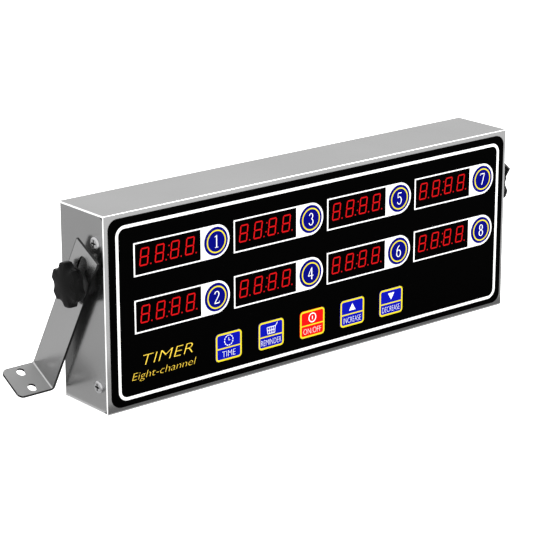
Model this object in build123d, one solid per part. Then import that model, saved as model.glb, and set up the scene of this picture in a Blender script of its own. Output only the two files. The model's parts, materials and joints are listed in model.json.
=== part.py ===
from build123d import *
import os
from math import atan2, cos, radians, sin, tan

os.makedirs("parts", exist_ok=True)

# Eight-channel kitchen timer in a folded stainless-steel case, with a swing bracket and a
# clamping knob at each end. Millimetres. The origin is the centre of the case's bottom face,
# +X is to the right seen from the front, +Y goes to the back and +Z is up.

# ---- case ----
body_width = 293.0
body_height = 109.7
body_depth = 39.8
sheet = 1.0                 # steel sheet of the case
bend_radius = 1.2           # outer radius of its folds
nest_gap = 0.05             # between the two folded halves of the case
side_corner_radius = 3.0    # front corners of the side walls

# ---- printed front panel ----
overlay_thickness = 0.5
overlay_side_gap = 2.4
overlay_top_gap = 2.9
overlay_bottom_gap = 3.0
overlay_shift = 0.4         # the panel sits this far right of the middle
overlay_corner = 6.0

# ---- channels: two rows of four, each a window and a round key ----
columns = 4
rows = 2
window_width = 43.4
window_height = 17.0
window_corner = 1.0
window_to_left = 31.2       # channel centre to the window's left edge
key_to_right = 22.6         # channel centre to the key's centre
channel_half_left = 32.4
channel_half_right = 31.9
channels_left_margin = 15.1
channels_right_margin = 8.2
first_row_drop = 24.1       # top edge of the panel to the first row
second_row_drop = 1.0       # second row below the middle of the other two rows
lens_gap = 0.05

# ---- display modules behind the windows ----
module_width = 40.2
module_height = 12.8
module_depth = 7.0
module_lift = 0.8           # module centre above the window's centre
module_gap = 0.4
module_set_back = 0.1       # module face behind the front of the steel

# ---- keys ----
channel_key_diameter = 15.8
function_key_width = 18.0
function_key_height = 15.9
function_key_corner = 2.2
function_pitch = 30.1
function_row_lift = 18.6    # bottom edge of the panel to the row's centre
function_row_shift = -5.4
key_thickness = 0.5
key_proud = 0.4             # key face in front of the panel
key_side_gap = 0.15
key_travel = 0.3
stem_diameter = 3.4
stem_hole_gap = 0.5
stem_end_gap = 0.1          # stem to switch when the key is fully pressed
switch_size = 6.0
switch_height = 3.5

# ---- circuit board ----
board_thickness = 1.6
board_side_gap = 9.0
board_end_gap = 7.0
standoff_diameter = 5.5
standoff_inset_x = 5.0
standoff_inset_z = 4.0
board_screw_diameter = 3.0
board_screw_gap = 0.1
board_screw_length = 5.0
board_screw_head = 5.5
board_screw_head_height = 1.8

# ---- parts on the back of the board ----
chip_height = 1.6
controller_size = 14.0
driver_length = 18.0
driver_width = 7.6
regulator_length = 10.0
regulator_width = 9.0
regulator_height = 4.5
capacitor_diameter = 8.0
capacitor_height = 12.0
buzzer_diameter = 24.0
buzzer_height = 9.0
buzzer_inset_x = 45.0
buzzer_lift = 30.0
buzzer_mouth_depth = 2.0
sound_hole_diameter = 2.4
sound_ring_radius = 6.0

# ---- power inlet ----
jack_inset_x = 45.0
jack_lift = 22.0
jack_barrel_diameter = 11.0
jack_bore_diameter = 5.6
jack_pin_diameter = 2.0
jack_pin_set_back = 1.0       # pin's tip behind the mouth
jack_pin_root = 0.5         # pin sunk into the barrel
jack_flange_diameter = 14.0
jack_flange_height = 1.5
jack_length = 9.0
jack_bore_depth = 8.0
jack_hole_gap = 0.2
jack_nut_across = 14.0
jack_nut_height = 2.5
lead_diameter = 1.5
lead_spacing = 3.0
lead_offset = 6.0           # sideways step of the lead between inlet and board
lead_end_run = 4.5
lead_plug_width = 8.0
lead_plug_depth = 6.0
lead_plug_height = 5.0

# ---- screws that hold the two halves of the case together ----
cover_screw_diameter = 3.9
cover_screw_length = 6.0
cover_screw_head = 7.0
cover_screw_head_height = 1.8
cover_screw_head_round = 1.0
cover_screw_back = 6.8      # screw axis behind the front face
upper_screw_drop = 15.7
lower_screw_lift = 14.9
recess_width = 0.9
recess_length = 4.0
recess_depth = 1.0
tab_width = 13.0
tab_depth = 10.0
tab_gap = 0.05
cover_nut_diameter = 7.0
cover_nut_height = 3.2
cover_nut_gap = 0.05
cover_hole_gap = 0.3

# ---- swing brackets ----
pivot_drop = 39.5           # top of the case to the pivot axis
bracket_tilt = 29.2         # degrees, foot towards the back
bracket_width = 21.0
bracket_thickness = 1.3
bracket_top = 22.7          # pivot to the leg's square end
foot_drop = 1.3             # foot's face below the case when the leg hangs straight down
foot_length = 21.0
foot_corner = 3.5
fold_radius = 2.3
foot_hole_diameter = 5.3
foot_hole_spacing = 12.0
foot_hole_reach = 10.5      # leg's outer face to the holes
slot_travel = 14.5
slot_gap = 0.5

# ---- clamp stack on each pivot, from the case outwards ----
stud_diameter = 6.0
stud_gap = 0.05
stud_hole_gap = 0.05
stud_head_across = 10.0
stud_head_height = 4.0
spacer_diameter = 15.0
spacer_thickness = 3.2
washer_diameter = 18.0
washer_thickness = 1.2
knob_diameter = 24.6
knob_hub_diameter = 15.0
knob_hub_height = 0.9
knob_rim_height = 5.5
knob_dome = 1.0
knob_lobes = 6
knob_lobe_angle = 20.6      # degrees, first lobe from +Y towards +Z
knob_valley_radius = 10.3
knob_scallop_radius = 5.0
knob_lobe_corner = 1.0      # rounding between a lobe and a scallop
knob_edge = 0.7
knob_bore_depth = 5.6
stud_end_gap = 1.0          # stud's end to the bottom of the bore
insert_diameter = 10.0
insert_height = 5.0

# ---- places worked out from the sizes above ----
front_y = -body_depth / 2
back_y = body_depth / 2
side_x = body_width / 2
inner_front_y = front_y + sheet
inner_back_y = back_y - sheet
inner_side_x = side_x - sheet
inside_bottom = sheet + nest_gap
inside_top = body_height - sheet - nest_gap

overlay_width = body_width - 2 * overlay_side_gap
overlay_height = body_height - overlay_top_gap - overlay_bottom_gap
overlay_left = overlay_shift - overlay_width / 2
overlay_right = overlay_shift + overlay_width / 2
overlay_z = overlay_bottom_gap + overlay_height / 2
overlay_y = front_y - overlay_thickness

channel_first_x = overlay_left + channels_left_margin + channel_half_left
channel_last_x = overlay_right - channels_right_margin - channel_half_right
channel_pitch = (channel_last_x - channel_first_x) / (columns - 1)
first_row_z = overlay_bottom_gap + overlay_height - first_row_drop
function_row_z = overlay_bottom_gap + function_row_lift
second_row_z = (first_row_z + function_row_z) / 2 - second_row_drop
window_shift = window_width / 2 - window_to_left

# channels 1, 3, 5, 7 are the first row and 2, 4, 6, 8 the second
channel_places = [
    (channel_first_x + column * channel_pitch, (first_row_z, second_row_z)[row])
    for column in range(columns)
    for row in range(rows)
]
window_places = [(x + window_shift, z) for x, z in channel_places]
channel_key_places = [(x + key_to_right, z) for x, z in channel_places]
function_names = ["time_key", "reminder_key", "power_key", "increase_key", "decrease_key"]
function_middle = (len(function_names) - 1) / 2
function_places = [
    (function_row_shift + (i - function_middle) * function_pitch, function_row_z)
    for i in range(len(function_names))
]
key_places = channel_key_places + function_places

key_face_y = overlay_y - key_proud
key_back_y = key_face_y + key_thickness
board_front_y = front_y + module_set_back + module_depth
board_back_y = board_front_y + board_thickness
board_bottom = board_end_gap
board_top = body_height - board_end_gap
board_half = side_x - board_side_gap
board_hole_radius = board_screw_diameter / 2 + board_screw_gap
switch_face_y = board_front_y - switch_height
stem_end_y = switch_face_y - stem_end_gap - key_travel
standoff_places = [
    (x, z)
    for x in (standoff_inset_x - board_half, overlay_shift, board_half - standoff_inset_x)
    for z in (board_bottom + standoff_inset_z, board_top - standoff_inset_z)
]

buzzer_x = side_x - buzzer_inset_x
jack_x = jack_inset_x - side_x
jack_end_y = back_y - jack_length
lead_plug_x = jack_x + lead_offset
lead_plug_back_y = board_back_y + lead_plug_height

cover_screw_y = front_y + cover_screw_back
cover_screw_heights = [body_height - upper_screw_drop, lower_screw_lift]
tab_outer_x = inner_side_x - tab_gap
tab_inner_x = tab_outer_x - sheet

pivot_z = body_height - pivot_drop
bracket_bottom = pivot_z + foot_drop
bracket_inner_x = side_x + spacer_thickness
bracket_outer_x = bracket_inner_x + bracket_thickness
slot_width = stud_diameter + 2 * slot_gap
washer_outer_x = bracket_outer_x + washer_thickness
knob_back_x = washer_outer_x + knob_hub_height
knob_front_x = knob_back_x + knob_rim_height
stud_end_x = washer_outer_x + knob_bore_depth - stud_end_gap
bore_radius = stud_diameter / 2 + stud_gap


# ---- helpers ----
def slab(x0, x1, y0, y1, z0, z1):
    """A box from its two corners."""
    middle = Location(((x0 + x1) / 2, (y0 + y1) / 2, (z0 + z1) / 2))
    return middle * Box(abs(x1 - x0), abs(y1 - y0), abs(z1 - z0))


def rod_y(radius, x, z, y0, y1):
    """A cylinder along Y."""
    return Location((x, (y0 + y1) / 2, z), (90, 0, 0)) * Cylinder(radius, abs(y1 - y0))


def rod_x(radius, y, z, x0, x1):
    """A cylinder along X."""
    return Location(((x0 + x1) / 2, y, z), (0, 90, 0)) * Cylinder(radius, abs(x1 - x0))


def plate_y(width, height, corner, x, z, y0, y1):
    """A rounded plate in the XZ plane, from y0 back to y1."""
    face = Plane((x, y0, z), x_dir=(1, 0, 0), z_dir=(0, 1, 0)) * RectangleRounded(width, height, corner)
    return extrude(face, amount=y1 - y0)


def mirrored(shape):
    """The same piece at the other end of the case."""
    return mirror(shape, about=Plane.YZ)


def save(name, pieces):
    """Write one node; identical pieces share a node as separate solids."""
    if isinstance(pieces, (list, tuple)):
        shape = Compound(children=list(pieces))
    else:
        shape = pieces
    export_step(shape, f"parts/{name}.step")


# ---- case ----
def front_cover():
    """Front, top and bottom in one folded sheet, with four screw tabs inside its ends."""
    profile = Rectangle(body_depth, body_height) - Pos(sheet, 0) * Rectangle(
        body_depth, body_height - 2 * sheet
    )
    outer = [v for v in profile.vertices() if v.X < -body_depth / 2 + 0.01]
    profile = fillet(outer, bend_radius)
    inner = [v for v in profile.vertices() if abs(v.X - (sheet - body_depth / 2)) < 0.01]
    profile = fillet(inner, bend_radius - sheet)
    plane = Plane((-side_x, 0, body_height / 2), x_dir=(0, 1, 0), z_dir=(1, 0, 0))
    cover = extrude(plane * profile, amount=body_width)
    for x, z in window_places:
        cover -= slab(
            x - module_width / 2 - module_gap,
            x + module_width / 2 + module_gap,
            front_y - 1,
            inner_front_y + 1,
            z + module_lift - module_height / 2 - module_gap,
            z + module_lift + module_height / 2 + module_gap,
        )
    for x, z in key_places:
        cover -= rod_y(stem_diameter / 2 + stem_hole_gap, x, z, front_y - 1, inner_front_y + 1)
    for side in (-1, 1):
        for z in cover_screw_heights:
            tab = slab(
                side * tab_inner_x,
                side * tab_outer_x,
                inner_front_y,
                inner_front_y + tab_depth,
                z - tab_width / 2,
                z + tab_width / 2,
            )
            hole = rod_x(
                cover_screw_diameter / 2 + cover_hole_gap,
                cover_screw_y,
                z,
                side * (tab_inner_x - 1),
                side * (tab_outer_x + 0.5 * tab_gap),
            )
            cover += tab - hole
    return cover


def rear_chassis():
    """Back and both ends in one folded sheet that nests inside the cover."""
    height = inside_top - inside_bottom
    depth = inner_back_y + sheet - inner_front_y - nest_gap
    profile = Rectangle(body_width, depth) - Pos(0, -sheet) * Rectangle(body_width - 2 * sheet, depth)
    outer = [v for v in profile.vertices() if v.Y > depth / 2 - 0.01]
    profile = fillet(outer, bend_radius)
    inner = [v for v in profile.vertices() if abs(v.Y - (depth / 2 - sheet)) < 0.01]
    profile = fillet(inner, bend_radius - sheet)
    chassis = extrude(Location((0, back_y - depth / 2, inside_bottom)) * profile, amount=height)
    front_edges = [
        e
        for e in chassis.edges().filter_by(Axis.X)
        if e.center().Y < back_y - depth + 0.01 and abs(e.center().X) > inner_side_x
    ]
    chassis = fillet(front_edges, side_corner_radius)
    for side in (-1, 1):
        for z in cover_screw_heights:
            radius = cover_screw_diameter / 2 + cover_hole_gap
            chassis -= rod_x(radius, cover_screw_y, z, side * (inner_side_x - 1), side * (side_x + 1))
        radius = stud_diameter / 2 + stud_hole_gap
        chassis -= rod_x(radius, 0, pivot_z, side * (inner_side_x - 1), side * (side_x + 1))
    jack_hole_radius = jack_barrel_diameter / 2 + jack_hole_gap
    chassis -= rod_y(jack_hole_radius, jack_x, jack_lift, inner_back_y - 1, back_y + 1)
    for x, z in sound_hole_places():
        chassis -= rod_y(sound_hole_diameter / 2, x, z, inner_back_y - 1, back_y + 1)
    return chassis


def sound_hole_places():
    """One hole in the middle and six around it, behind the buzzer."""
    ring = [radians(60 * i) for i in range(6)]
    places = [(buzzer_x, buzzer_lift)]
    for angle in ring:
        x = buzzer_x + sound_ring_radius * cos(angle)
        places.append((x, buzzer_lift + sound_ring_radius * sin(angle)))
    return places


def cover_screw(side, z):
    """Pan-head screw with a cross recess, driven in from the side."""
    head = rod_x(cover_screw_head / 2, cover_screw_y, z, side_x, side_x + cover_screw_head_height)
    rim = head.edges().filter_by(GeomType.CIRCLE).sort_by(Axis.X)[-1]
    head = fillet(rim, cover_screw_head_round)
    shank = rod_x(cover_screw_diameter / 2, cover_screw_y, z, side_x - cover_screw_length, side_x)
    screw = head + shank
    recess_floor = side_x + cover_screw_head_height - recess_depth
    recess_top = side_x + cover_screw_head_height + 1
    for across, along in ((recess_width, recess_length), (recess_length, recess_width)):
        screw -= slab(
            recess_floor,
            recess_top,
            cover_screw_y - across / 2,
            cover_screw_y + across / 2,
            z - along / 2,
            z + along / 2,
        )
    return screw if side > 0 else mirrored(screw)


def cover_nut(side, z):
    """Clinch nut on the inside of a tab."""
    nut = rod_x(cover_nut_diameter / 2, cover_screw_y, z, tab_inner_x - cover_nut_height, tab_inner_x)
    nut -= rod_x(
        cover_screw_diameter / 2 + cover_nut_gap,
        cover_screw_y,
        z,
        tab_inner_x - cover_nut_height - 1,
        tab_inner_x + 1,
    )
    return nut if side > 0 else mirrored(nut)


# ---- front panel ----
def panel_overlay():
    """Printed sheet on the front, open at the windows and around the keys."""
    panel = plate_y(
        overlay_width, overlay_height, overlay_corner, overlay_shift, overlay_z, overlay_y, front_y
    )
    for x, z in window_places:
        panel -= plate_y(window_width, window_height, window_corner, x, z, overlay_y - 1, front_y + 1)
    for x, z in channel_key_places:
        panel -= rod_y(channel_key_diameter / 2 + key_side_gap, x, z, overlay_y - 1, front_y + 1)
    for x, z in function_places:
        panel -= plate_y(
            function_key_width + 2 * key_side_gap,
            function_key_height + 2 * key_side_gap,
            function_key_corner + key_side_gap,
            x,
            z,
            overlay_y - 1,
            front_y + 1,
        )
    return panel


def display_window(x, z):
    """Smoked lens that fills one opening of the panel."""
    width = window_width - 2 * lens_gap
    height = window_height - 2 * lens_gap
    return plate_y(width, height, window_corner - lens_gap, x, z, overlay_y, front_y)


def key_stem(x, z):
    """Stem from the back of a key towards its switch."""
    return rod_y(stem_diameter / 2, x, z, key_back_y, stem_end_y)


def channel_key(x, z):
    """Round start and stop key of one channel."""
    return rod_y(channel_key_diameter / 2, x, z, key_face_y, key_back_y) + key_stem(x, z)


def function_key(x, z):
    """Rectangular key of the lower row."""
    pad = plate_y(
        function_key_width, function_key_height, function_key_corner, x, z, key_face_y, key_back_y
    )
    return pad + key_stem(x, z)


# ---- electronics ----
def display_module(x, z):
    """Four-digit display block, standing on the board behind its window."""
    return slab(
        x - module_width / 2,
        x + module_width / 2,
        front_y + module_set_back,
        board_front_y,
        z + module_lift - module_height / 2,
        z + module_lift + module_height / 2,
    )


def main_board():
    """Circuit board that carries the displays, the switches and the logic."""
    board = slab(-board_half, board_half, board_front_y, board_back_y, board_bottom, board_top)
    for x, z in standoff_places:
        board -= rod_y(board_hole_radius, x, z, board_front_y - 1, board_back_y + 1)
    return board


def board_standoff(x, z):
    """Threaded post from the front sheet to the board."""
    post = rod_y(standoff_diameter / 2, x, z, inner_front_y, board_front_y)
    bore = rod_y(board_hole_radius, x, z, inner_front_y + sheet, board_front_y + 1)
    return post - bore


def board_screw(x, z):
    """Screw through the board into its post."""
    shank = rod_y(board_screw_diameter / 2, x, z, board_back_y - board_screw_length, board_back_y)
    head = rod_y(board_screw_head / 2, x, z, board_back_y, board_back_y + board_screw_head_height)
    return shank + head


def key_switch(x, z):
    """Square tactile switch under one key."""
    half = switch_size / 2
    return slab(x - half, x + half, switch_face_y, board_front_y, z - half, z + half)


def chip(x, z, width, depth, height):
    """A block on the back of the board."""
    end_y = board_back_y + height
    return slab(x - width / 2, x + width / 2, board_back_y, end_y, z - depth / 2, z + depth / 2)


def display_drivers():
    """One driver chip between each pair of display columns."""
    column_x = [channel_places[rows * i][0] for i in range(columns)]
    middles = [(left + right) / 2 for left, right in zip(column_x, column_x[1:])]
    return [chip(x, second_row_z, driver_length, driver_width, chip_height) for x in middles]


def buzzer():
    """Round sounder on the back of the board, in front of the sound holes."""
    can = rod_y(buzzer_diameter / 2, buzzer_x, buzzer_lift, board_back_y, board_back_y + buzzer_height)
    end_y = board_back_y + buzzer_height
    mouth = rod_y(sound_hole_diameter / 2, buzzer_x, buzzer_lift, end_y - buzzer_mouth_depth, end_y + 1)
    return can - mouth


def filter_capacitor():
    """Upright can beside the inlet."""
    x = jack_x + 2 * capacitor_diameter + lead_offset
    return rod_y(capacitor_diameter / 2, x, jack_lift, board_back_y, board_back_y + capacitor_height)


def voltage_regulator():
    """Flat regulator package beside the capacitor."""
    x = jack_x + 4 * capacitor_diameter + lead_offset
    return chip(x, jack_lift, regulator_length, regulator_width, regulator_height)


def power_jack():
    """Barrel inlet through the back, flange outside and nut inside."""
    barrel = rod_y(jack_barrel_diameter / 2, jack_x, jack_lift, jack_end_y, back_y)
    flange = rod_y(jack_flange_diameter / 2, jack_x, jack_lift, back_y, back_y + jack_flange_height)
    mouth_y = back_y + jack_flange_height
    bore_end_y = mouth_y - jack_bore_depth
    bore = rod_y(jack_bore_diameter / 2, jack_x, jack_lift, bore_end_y, mouth_y + 1)
    pin_start_y = bore_end_y - jack_pin_root
    pin = rod_y(jack_pin_diameter / 2, jack_x, jack_lift, pin_start_y, mouth_y - jack_pin_set_back)
    return barrel + flange - bore + pin


def power_jack_nut():
    """Hexagon nut that clamps the inlet to the back."""
    start = inner_back_y - jack_nut_height
    plane = Plane((jack_x, start, jack_lift), x_dir=(1, 0, 0), z_dir=(0, 1, 0))
    nut = extrude(plane * RegularPolygon(jack_nut_across / 2, 6, major_radius=False), amount=jack_nut_height)
    hole_radius = jack_barrel_diameter / 2 + cover_nut_gap
    hole = rod_y(hole_radius, jack_x, jack_lift, start - 1, inner_back_y + 1)
    return nut - hole


def lead_plug():
    """Socket on the board that takes the power lead."""
    return chip(lead_plug_x, jack_lift, lead_plug_width, lead_plug_depth, lead_plug_height)


def power_lead():
    """Two short wires from the inlet to the board, held at both ends."""
    wires = []
    for step in (-0.5, 0.5):
        z = jack_lift + step * lead_spacing
        points = [
            (jack_x, jack_end_y, z),
            (jack_x, jack_end_y - lead_end_run, z),
            (lead_plug_x, lead_plug_back_y + lead_end_run, z),
            (lead_plug_x, lead_plug_back_y, z),
        ]
        turn = atan2(lead_offset, points[1][1] - points[2][1])
        radius = 0.45 * lead_end_run / tan(turn / 2)
        path = FilletPolyline(*points, radius=radius)
        start = Plane(points[0], x_dir=(1, 0, 0), z_dir=(0, -1, 0))
        wires.append(sweep(start * Circle(lead_diameter / 2), path=path))
        print(f"power lead: corner radius {radius:.2f} mm")
    return wires


# ---- swing brackets and clamp stacks, made at the right end ----
def tilted(shape):
    """Turn a piece about the pivot by the leg's tilt."""
    return shape.rotate(Axis((0, 0, pivot_z), (1, 0, 0)), bracket_tilt)


def bracket():
    """Slotted leg with a foot folded outwards at its lower end."""
    foot_z = pivot_z - bracket_bottom
    foot_end = bracket_outer_x + foot_length
    top_z = pivot_z + bracket_top
    half = bracket_width / 2
    leg = slab(bracket_inner_x, bracket_outer_x, -half, half, foot_z, top_z)
    foot = slab(bracket_inner_x, foot_end, -half, half, foot_z, foot_z + bracket_thickness)
    angle = leg + foot
    folds = angle.edges().filter_by(Axis.Y)
    outside = [e for e in folds if e.center().X < bracket_inner_x + 0.01 and e.center().Z < foot_z + 0.01]
    angle = fillet(outside, fold_radius)
    folds = angle.edges().filter_by(Axis.Y)
    inside = [
        e
        for e in folds
        if abs(e.center().X - bracket_outer_x) < 0.01
        and abs(e.center().Z - foot_z - bracket_thickness) < 0.01
    ]
    angle = fillet(inside, fold_radius - bracket_thickness)
    toes = [e for e in angle.edges().filter_by(Axis.Z) if e.center().X > foot_end - 0.01]
    angle = fillet(toes, foot_corner)
    across = rod_x(slot_width / 2, 0, pivot_z, bracket_inner_x - 1, bracket_outer_x + 1)
    across += rod_x(slot_width / 2, 0, pivot_z + slot_travel, bracket_inner_x - 1, bracket_outer_x + 1)
    across += slab(
        bracket_inner_x - 1,
        bracket_outer_x + 1,
        -slot_width / 2,
        slot_width / 2,
        pivot_z,
        pivot_z + slot_travel,
    )
    angle -= across
    hole_x = bracket_outer_x + foot_hole_reach
    for y in (-foot_hole_spacing / 2, foot_hole_spacing / 2):
        hole = Location((hole_x, y, foot_z)) * Cylinder(foot_hole_diameter / 2, 4 * bracket_thickness)
        angle -= hole
    return tilted(angle)


def knob_stud():
    """Stud with a hexagon head inside the case."""
    head_plane = Plane((inner_side_x - stud_head_height, 0, pivot_z), x_dir=(0, 1, 0), z_dir=(1, 0, 0))
    head = extrude(
        head_plane * RegularPolygon(stud_head_across / 2, 6, major_radius=False), amount=stud_head_height
    )
    return head + rod_x(stud_diameter / 2, 0, pivot_z, inner_side_x, stud_end_x)


def ring(diameter, x0, x1):
    """A washer on the stud."""
    outer = rod_x(diameter / 2, 0, pivot_z, x0, x1)
    return outer - rod_x(bore_radius, 0, pivot_z, x0 - 1, x1 + 1)


def star_outline(radius):
    """Six lobes with a round scallop between each two."""
    outline = Circle(radius)
    scallop_at = knob_valley_radius + knob_scallop_radius
    for i in range(knob_lobes):
        angle = radians(knob_lobe_angle + (i + 0.5) * 360 / knob_lobes)
        outline -= Pos(scallop_at * cos(angle), scallop_at * sin(angle)) * Circle(knob_scallop_radius)
    return fillet(outline.vertices(), knob_lobe_corner)


def knob():
    """Star knob with a domed face, a short hub and a blind bore for its insert."""
    plane = Plane((knob_back_x, 0, pivot_z), x_dir=(0, 1, 0), z_dir=(1, 0, 0))
    head = extrude(plane * star_outline(knob_diameter / 2), amount=knob_rim_height + knob_dome)
    rim = knob_diameter / 2
    dome_radius = (rim**2 + knob_dome**2) / (2 * knob_dome)
    dome_x = knob_front_x + knob_dome - dome_radius
    head &= Location((dome_x, 0, pivot_z)) * Sphere(dome_radius)
    front = [e for e in head.edges() if e.center().X > knob_front_x - 0.5]
    head = fillet(front, knob_edge)
    hub = rod_x(knob_hub_diameter / 2, 0, pivot_z, washer_outer_x, knob_back_x + 1)
    pocket = rod_x(insert_diameter / 2, 0, pivot_z, washer_outer_x - 1, washer_outer_x + insert_height)
    bore = rod_x(bore_radius, 0, pivot_z, washer_outer_x, washer_outer_x + knob_bore_depth)
    return head + hub - pocket - bore


def build_clamp_side(side, label):
    """Bracket, stud, washers, knob and insert of one end."""
    pieces = {
        "bracket": bracket(),
        "knob_stud": knob_stud(),
        "spacer_washer": ring(spacer_diameter, side_x, bracket_inner_x),
        "thrust_washer": ring(washer_diameter, bracket_outer_x, washer_outer_x),
        "knob_insert": ring(insert_diameter, washer_outer_x, washer_outer_x + insert_height),
        "knob": knob(),
    }
    for name, piece in pieces.items():
        save(f"{label}_{name}", piece if side > 0 else mirrored(piece))


save("front_cover", front_cover())
save("rear_chassis", rear_chassis())
save("cover_screws", [cover_screw(side, z) for side in (-1, 1) for z in cover_screw_heights])
save("cover_nuts", [cover_nut(side, z) for side in (-1, 1) for z in cover_screw_heights])
save("panel_overlay", panel_overlay())
save("display_windows", [display_window(x, z) for x, z in window_places])
for number, (x, z) in enumerate(channel_key_places, start=1):
    save(f"channel_key_{number}", channel_key(x, z))
for number, (x, z) in enumerate(window_places, start=1):
    save(f"display_module_{number}", display_module(x, z))
for name, (x, z) in zip(function_names, function_places):
    save(name, function_key(x, z))
save("main_board", main_board())
save("board_standoffs", [board_standoff(x, z) for x, z in standoff_places])
save("board_screws", [board_screw(x, z) for x, z in standoff_places])
save("key_switches", [key_switch(x, z) for x, z in key_places])
save("control_chip", chip(overlay_shift, first_row_z, controller_size, controller_size, chip_height))
save("display_drivers", display_drivers())
save("voltage_regulator", voltage_regulator())
save("filter_capacitor", filter_capacitor())
save("buzzer", buzzer())
save("power_jack", power_jack())
save("power_jack_nut", power_jack_nut())
save("lead_plug", lead_plug())
save("power_lead", power_lead())
build_clamp_side(1, "right")
build_clamp_side(-1, "left")
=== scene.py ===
# %% [markdown]
# # A kitchen timer in a folded steel case
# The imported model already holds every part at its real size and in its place, so nothing here moves
# or resizes it. This lesson gives those parts their finishes, prints the front panel, lights the
# digits, models the star knobs again with soft edges, and sets up a small studio around them.

# %% Load the fixed frame
import json
from math import asin, cos, degrees, pi, radians, sin, sqrt, tan

import bmesh
import bpy
from mathutils import Matrix, Quaternion, Vector


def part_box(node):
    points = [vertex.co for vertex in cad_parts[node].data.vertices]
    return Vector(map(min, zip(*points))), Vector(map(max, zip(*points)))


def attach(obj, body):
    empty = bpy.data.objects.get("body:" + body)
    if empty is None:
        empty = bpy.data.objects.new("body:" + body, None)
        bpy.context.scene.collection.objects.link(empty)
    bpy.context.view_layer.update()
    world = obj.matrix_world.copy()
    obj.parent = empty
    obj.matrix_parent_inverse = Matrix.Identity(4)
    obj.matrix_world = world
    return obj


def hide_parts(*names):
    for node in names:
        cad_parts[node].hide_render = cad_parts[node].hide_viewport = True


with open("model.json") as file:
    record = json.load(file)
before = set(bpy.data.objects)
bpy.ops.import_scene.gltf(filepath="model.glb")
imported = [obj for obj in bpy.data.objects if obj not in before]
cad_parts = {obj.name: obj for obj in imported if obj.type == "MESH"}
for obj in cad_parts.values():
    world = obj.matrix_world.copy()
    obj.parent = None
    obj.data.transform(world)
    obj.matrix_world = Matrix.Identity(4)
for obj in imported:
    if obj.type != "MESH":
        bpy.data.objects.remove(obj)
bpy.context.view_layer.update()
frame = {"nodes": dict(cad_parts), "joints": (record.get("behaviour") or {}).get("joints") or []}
nodes = frame["nodes"]
scene = bpy.context.scene
MM = 0.001

# %% [markdown]
# ## The camera
# A long lens keeps the case's edges nearly parallel, the way a catalogue picture does. The camera
# stands in front of the left end and a little above the case. It looks at a point inside the case
# and is turned a tenth of a degree about its own axis.

# %% Place the camera
camera_place = Vector((-0.76026, -0.89664, 0.41652))
camera_aim = Vector((-0.02166, 0.0, 0.05318))
camera_roll = radians(-0.105)
lens_length = 146.3

camera = bpy.data.objects.new("camera", bpy.data.cameras.new("camera"))
camera.data.lens = lens_length
camera.data.sensor_width = 36.0
camera.data.clip_start = 0.05
camera.data.clip_end = 50.0
camera.location = camera_place
camera.rotation_mode = "QUATERNION"
looking = (camera_aim - camera_place).to_track_quat("-Z", "Y")
camera.rotation_quaternion = looking @ Quaternion((0, 0, 1), camera_roll)
scene.collection.objects.link(camera)
scene.camera = camera
print("camera distance:", round((camera_aim - camera_place).length, 3), "m")

# %% [markdown]
# ## The studio
# Bare steel has almost no colour of its own: it shows whatever stands around it. An even pale sky
# gives it its light grey. The wide white floor glows as brightly as the sky, like a light table, so
# no shadow shows on it, and reflections look through it to the sky below. A soft lamp high on the
# right is there for the rounded bends: they alone mirror it towards the camera, so it draws a thin
# bright line along each of them.

# %% Sky, floor and lamps
scene.view_settings.view_transform = "Standard"
scene.view_settings.look = "None"

sky_strength = 1.0
floor_half = 6.0
floor_glow = 0.95


def plain_world(strength):
    """An even white sky."""
    world = bpy.data.worlds.new("studio")
    world.use_nodes = True
    background = world.node_tree.nodes["Background"]
    background.inputs["Color"].default_value = (1.0, 1.0, 1.0, 1.0)
    background.inputs["Strength"].default_value = strength
    scene.world = world


def soft_lamp(name, place, aim, size, power):
    """A square lamp that faces its aim."""
    lamp = bpy.data.lights.new(name, "AREA")
    lamp.size = size
    lamp.energy = power
    holder = bpy.data.objects.new(name, lamp)
    holder.location = place
    holder.rotation_euler = (Vector(aim) - Vector(place)).to_track_quat("-Z", "Y").to_euler()
    scene.collection.objects.link(holder)


def flat_card(name, low, high, height, paint):
    """A flat rectangle that belongs to the studio."""
    bm = bmesh.new()
    corners = ((low[0], low[1]), (high[0], low[1]), (high[0], high[1]), (low[0], high[1]))
    bm.faces.new([bm.verts.new((x, y, height)) for x, y in corners])
    mesh = bpy.data.meshes.new(name)
    bm.to_mesh(mesh)
    bm.free()
    mesh.materials.append(paint)
    card = bpy.data.objects.new(name, mesh)
    scene.collection.objects.link(card)
    return card


def plain_paint(name, grey, glow=0.0):
    """One even grey, for the studio only."""
    paint = bpy.data.materials.new(name)
    paint.use_nodes = True
    shader = paint.node_tree.nodes["Principled BSDF"]
    shader.inputs["Base Color"].default_value = (grey, grey, grey, 1.0)
    shader.inputs["Roughness"].default_value = 0.9
    shader.inputs["Emission Color"].default_value = (1.0, 1.0, 1.0, 1.0)
    shader.inputs["Emission Strength"].default_value = glow
    return paint


plain_world(sky_strength)
floor_paint = plain_paint("pale_floor", 0.90, floor_glow)
floor = flat_card("floor", (-floor_half, -floor_half), (floor_half, floor_half), 0.0, floor_paint)
floor.visible_glossy = False
soft_lamp("bend_lamp", (0.85, -0.42, 1.10), (0, 0, 0.05), 0.7, 10.0)
print("studio: sky", sky_strength, "floor glow", floor_glow)
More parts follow.
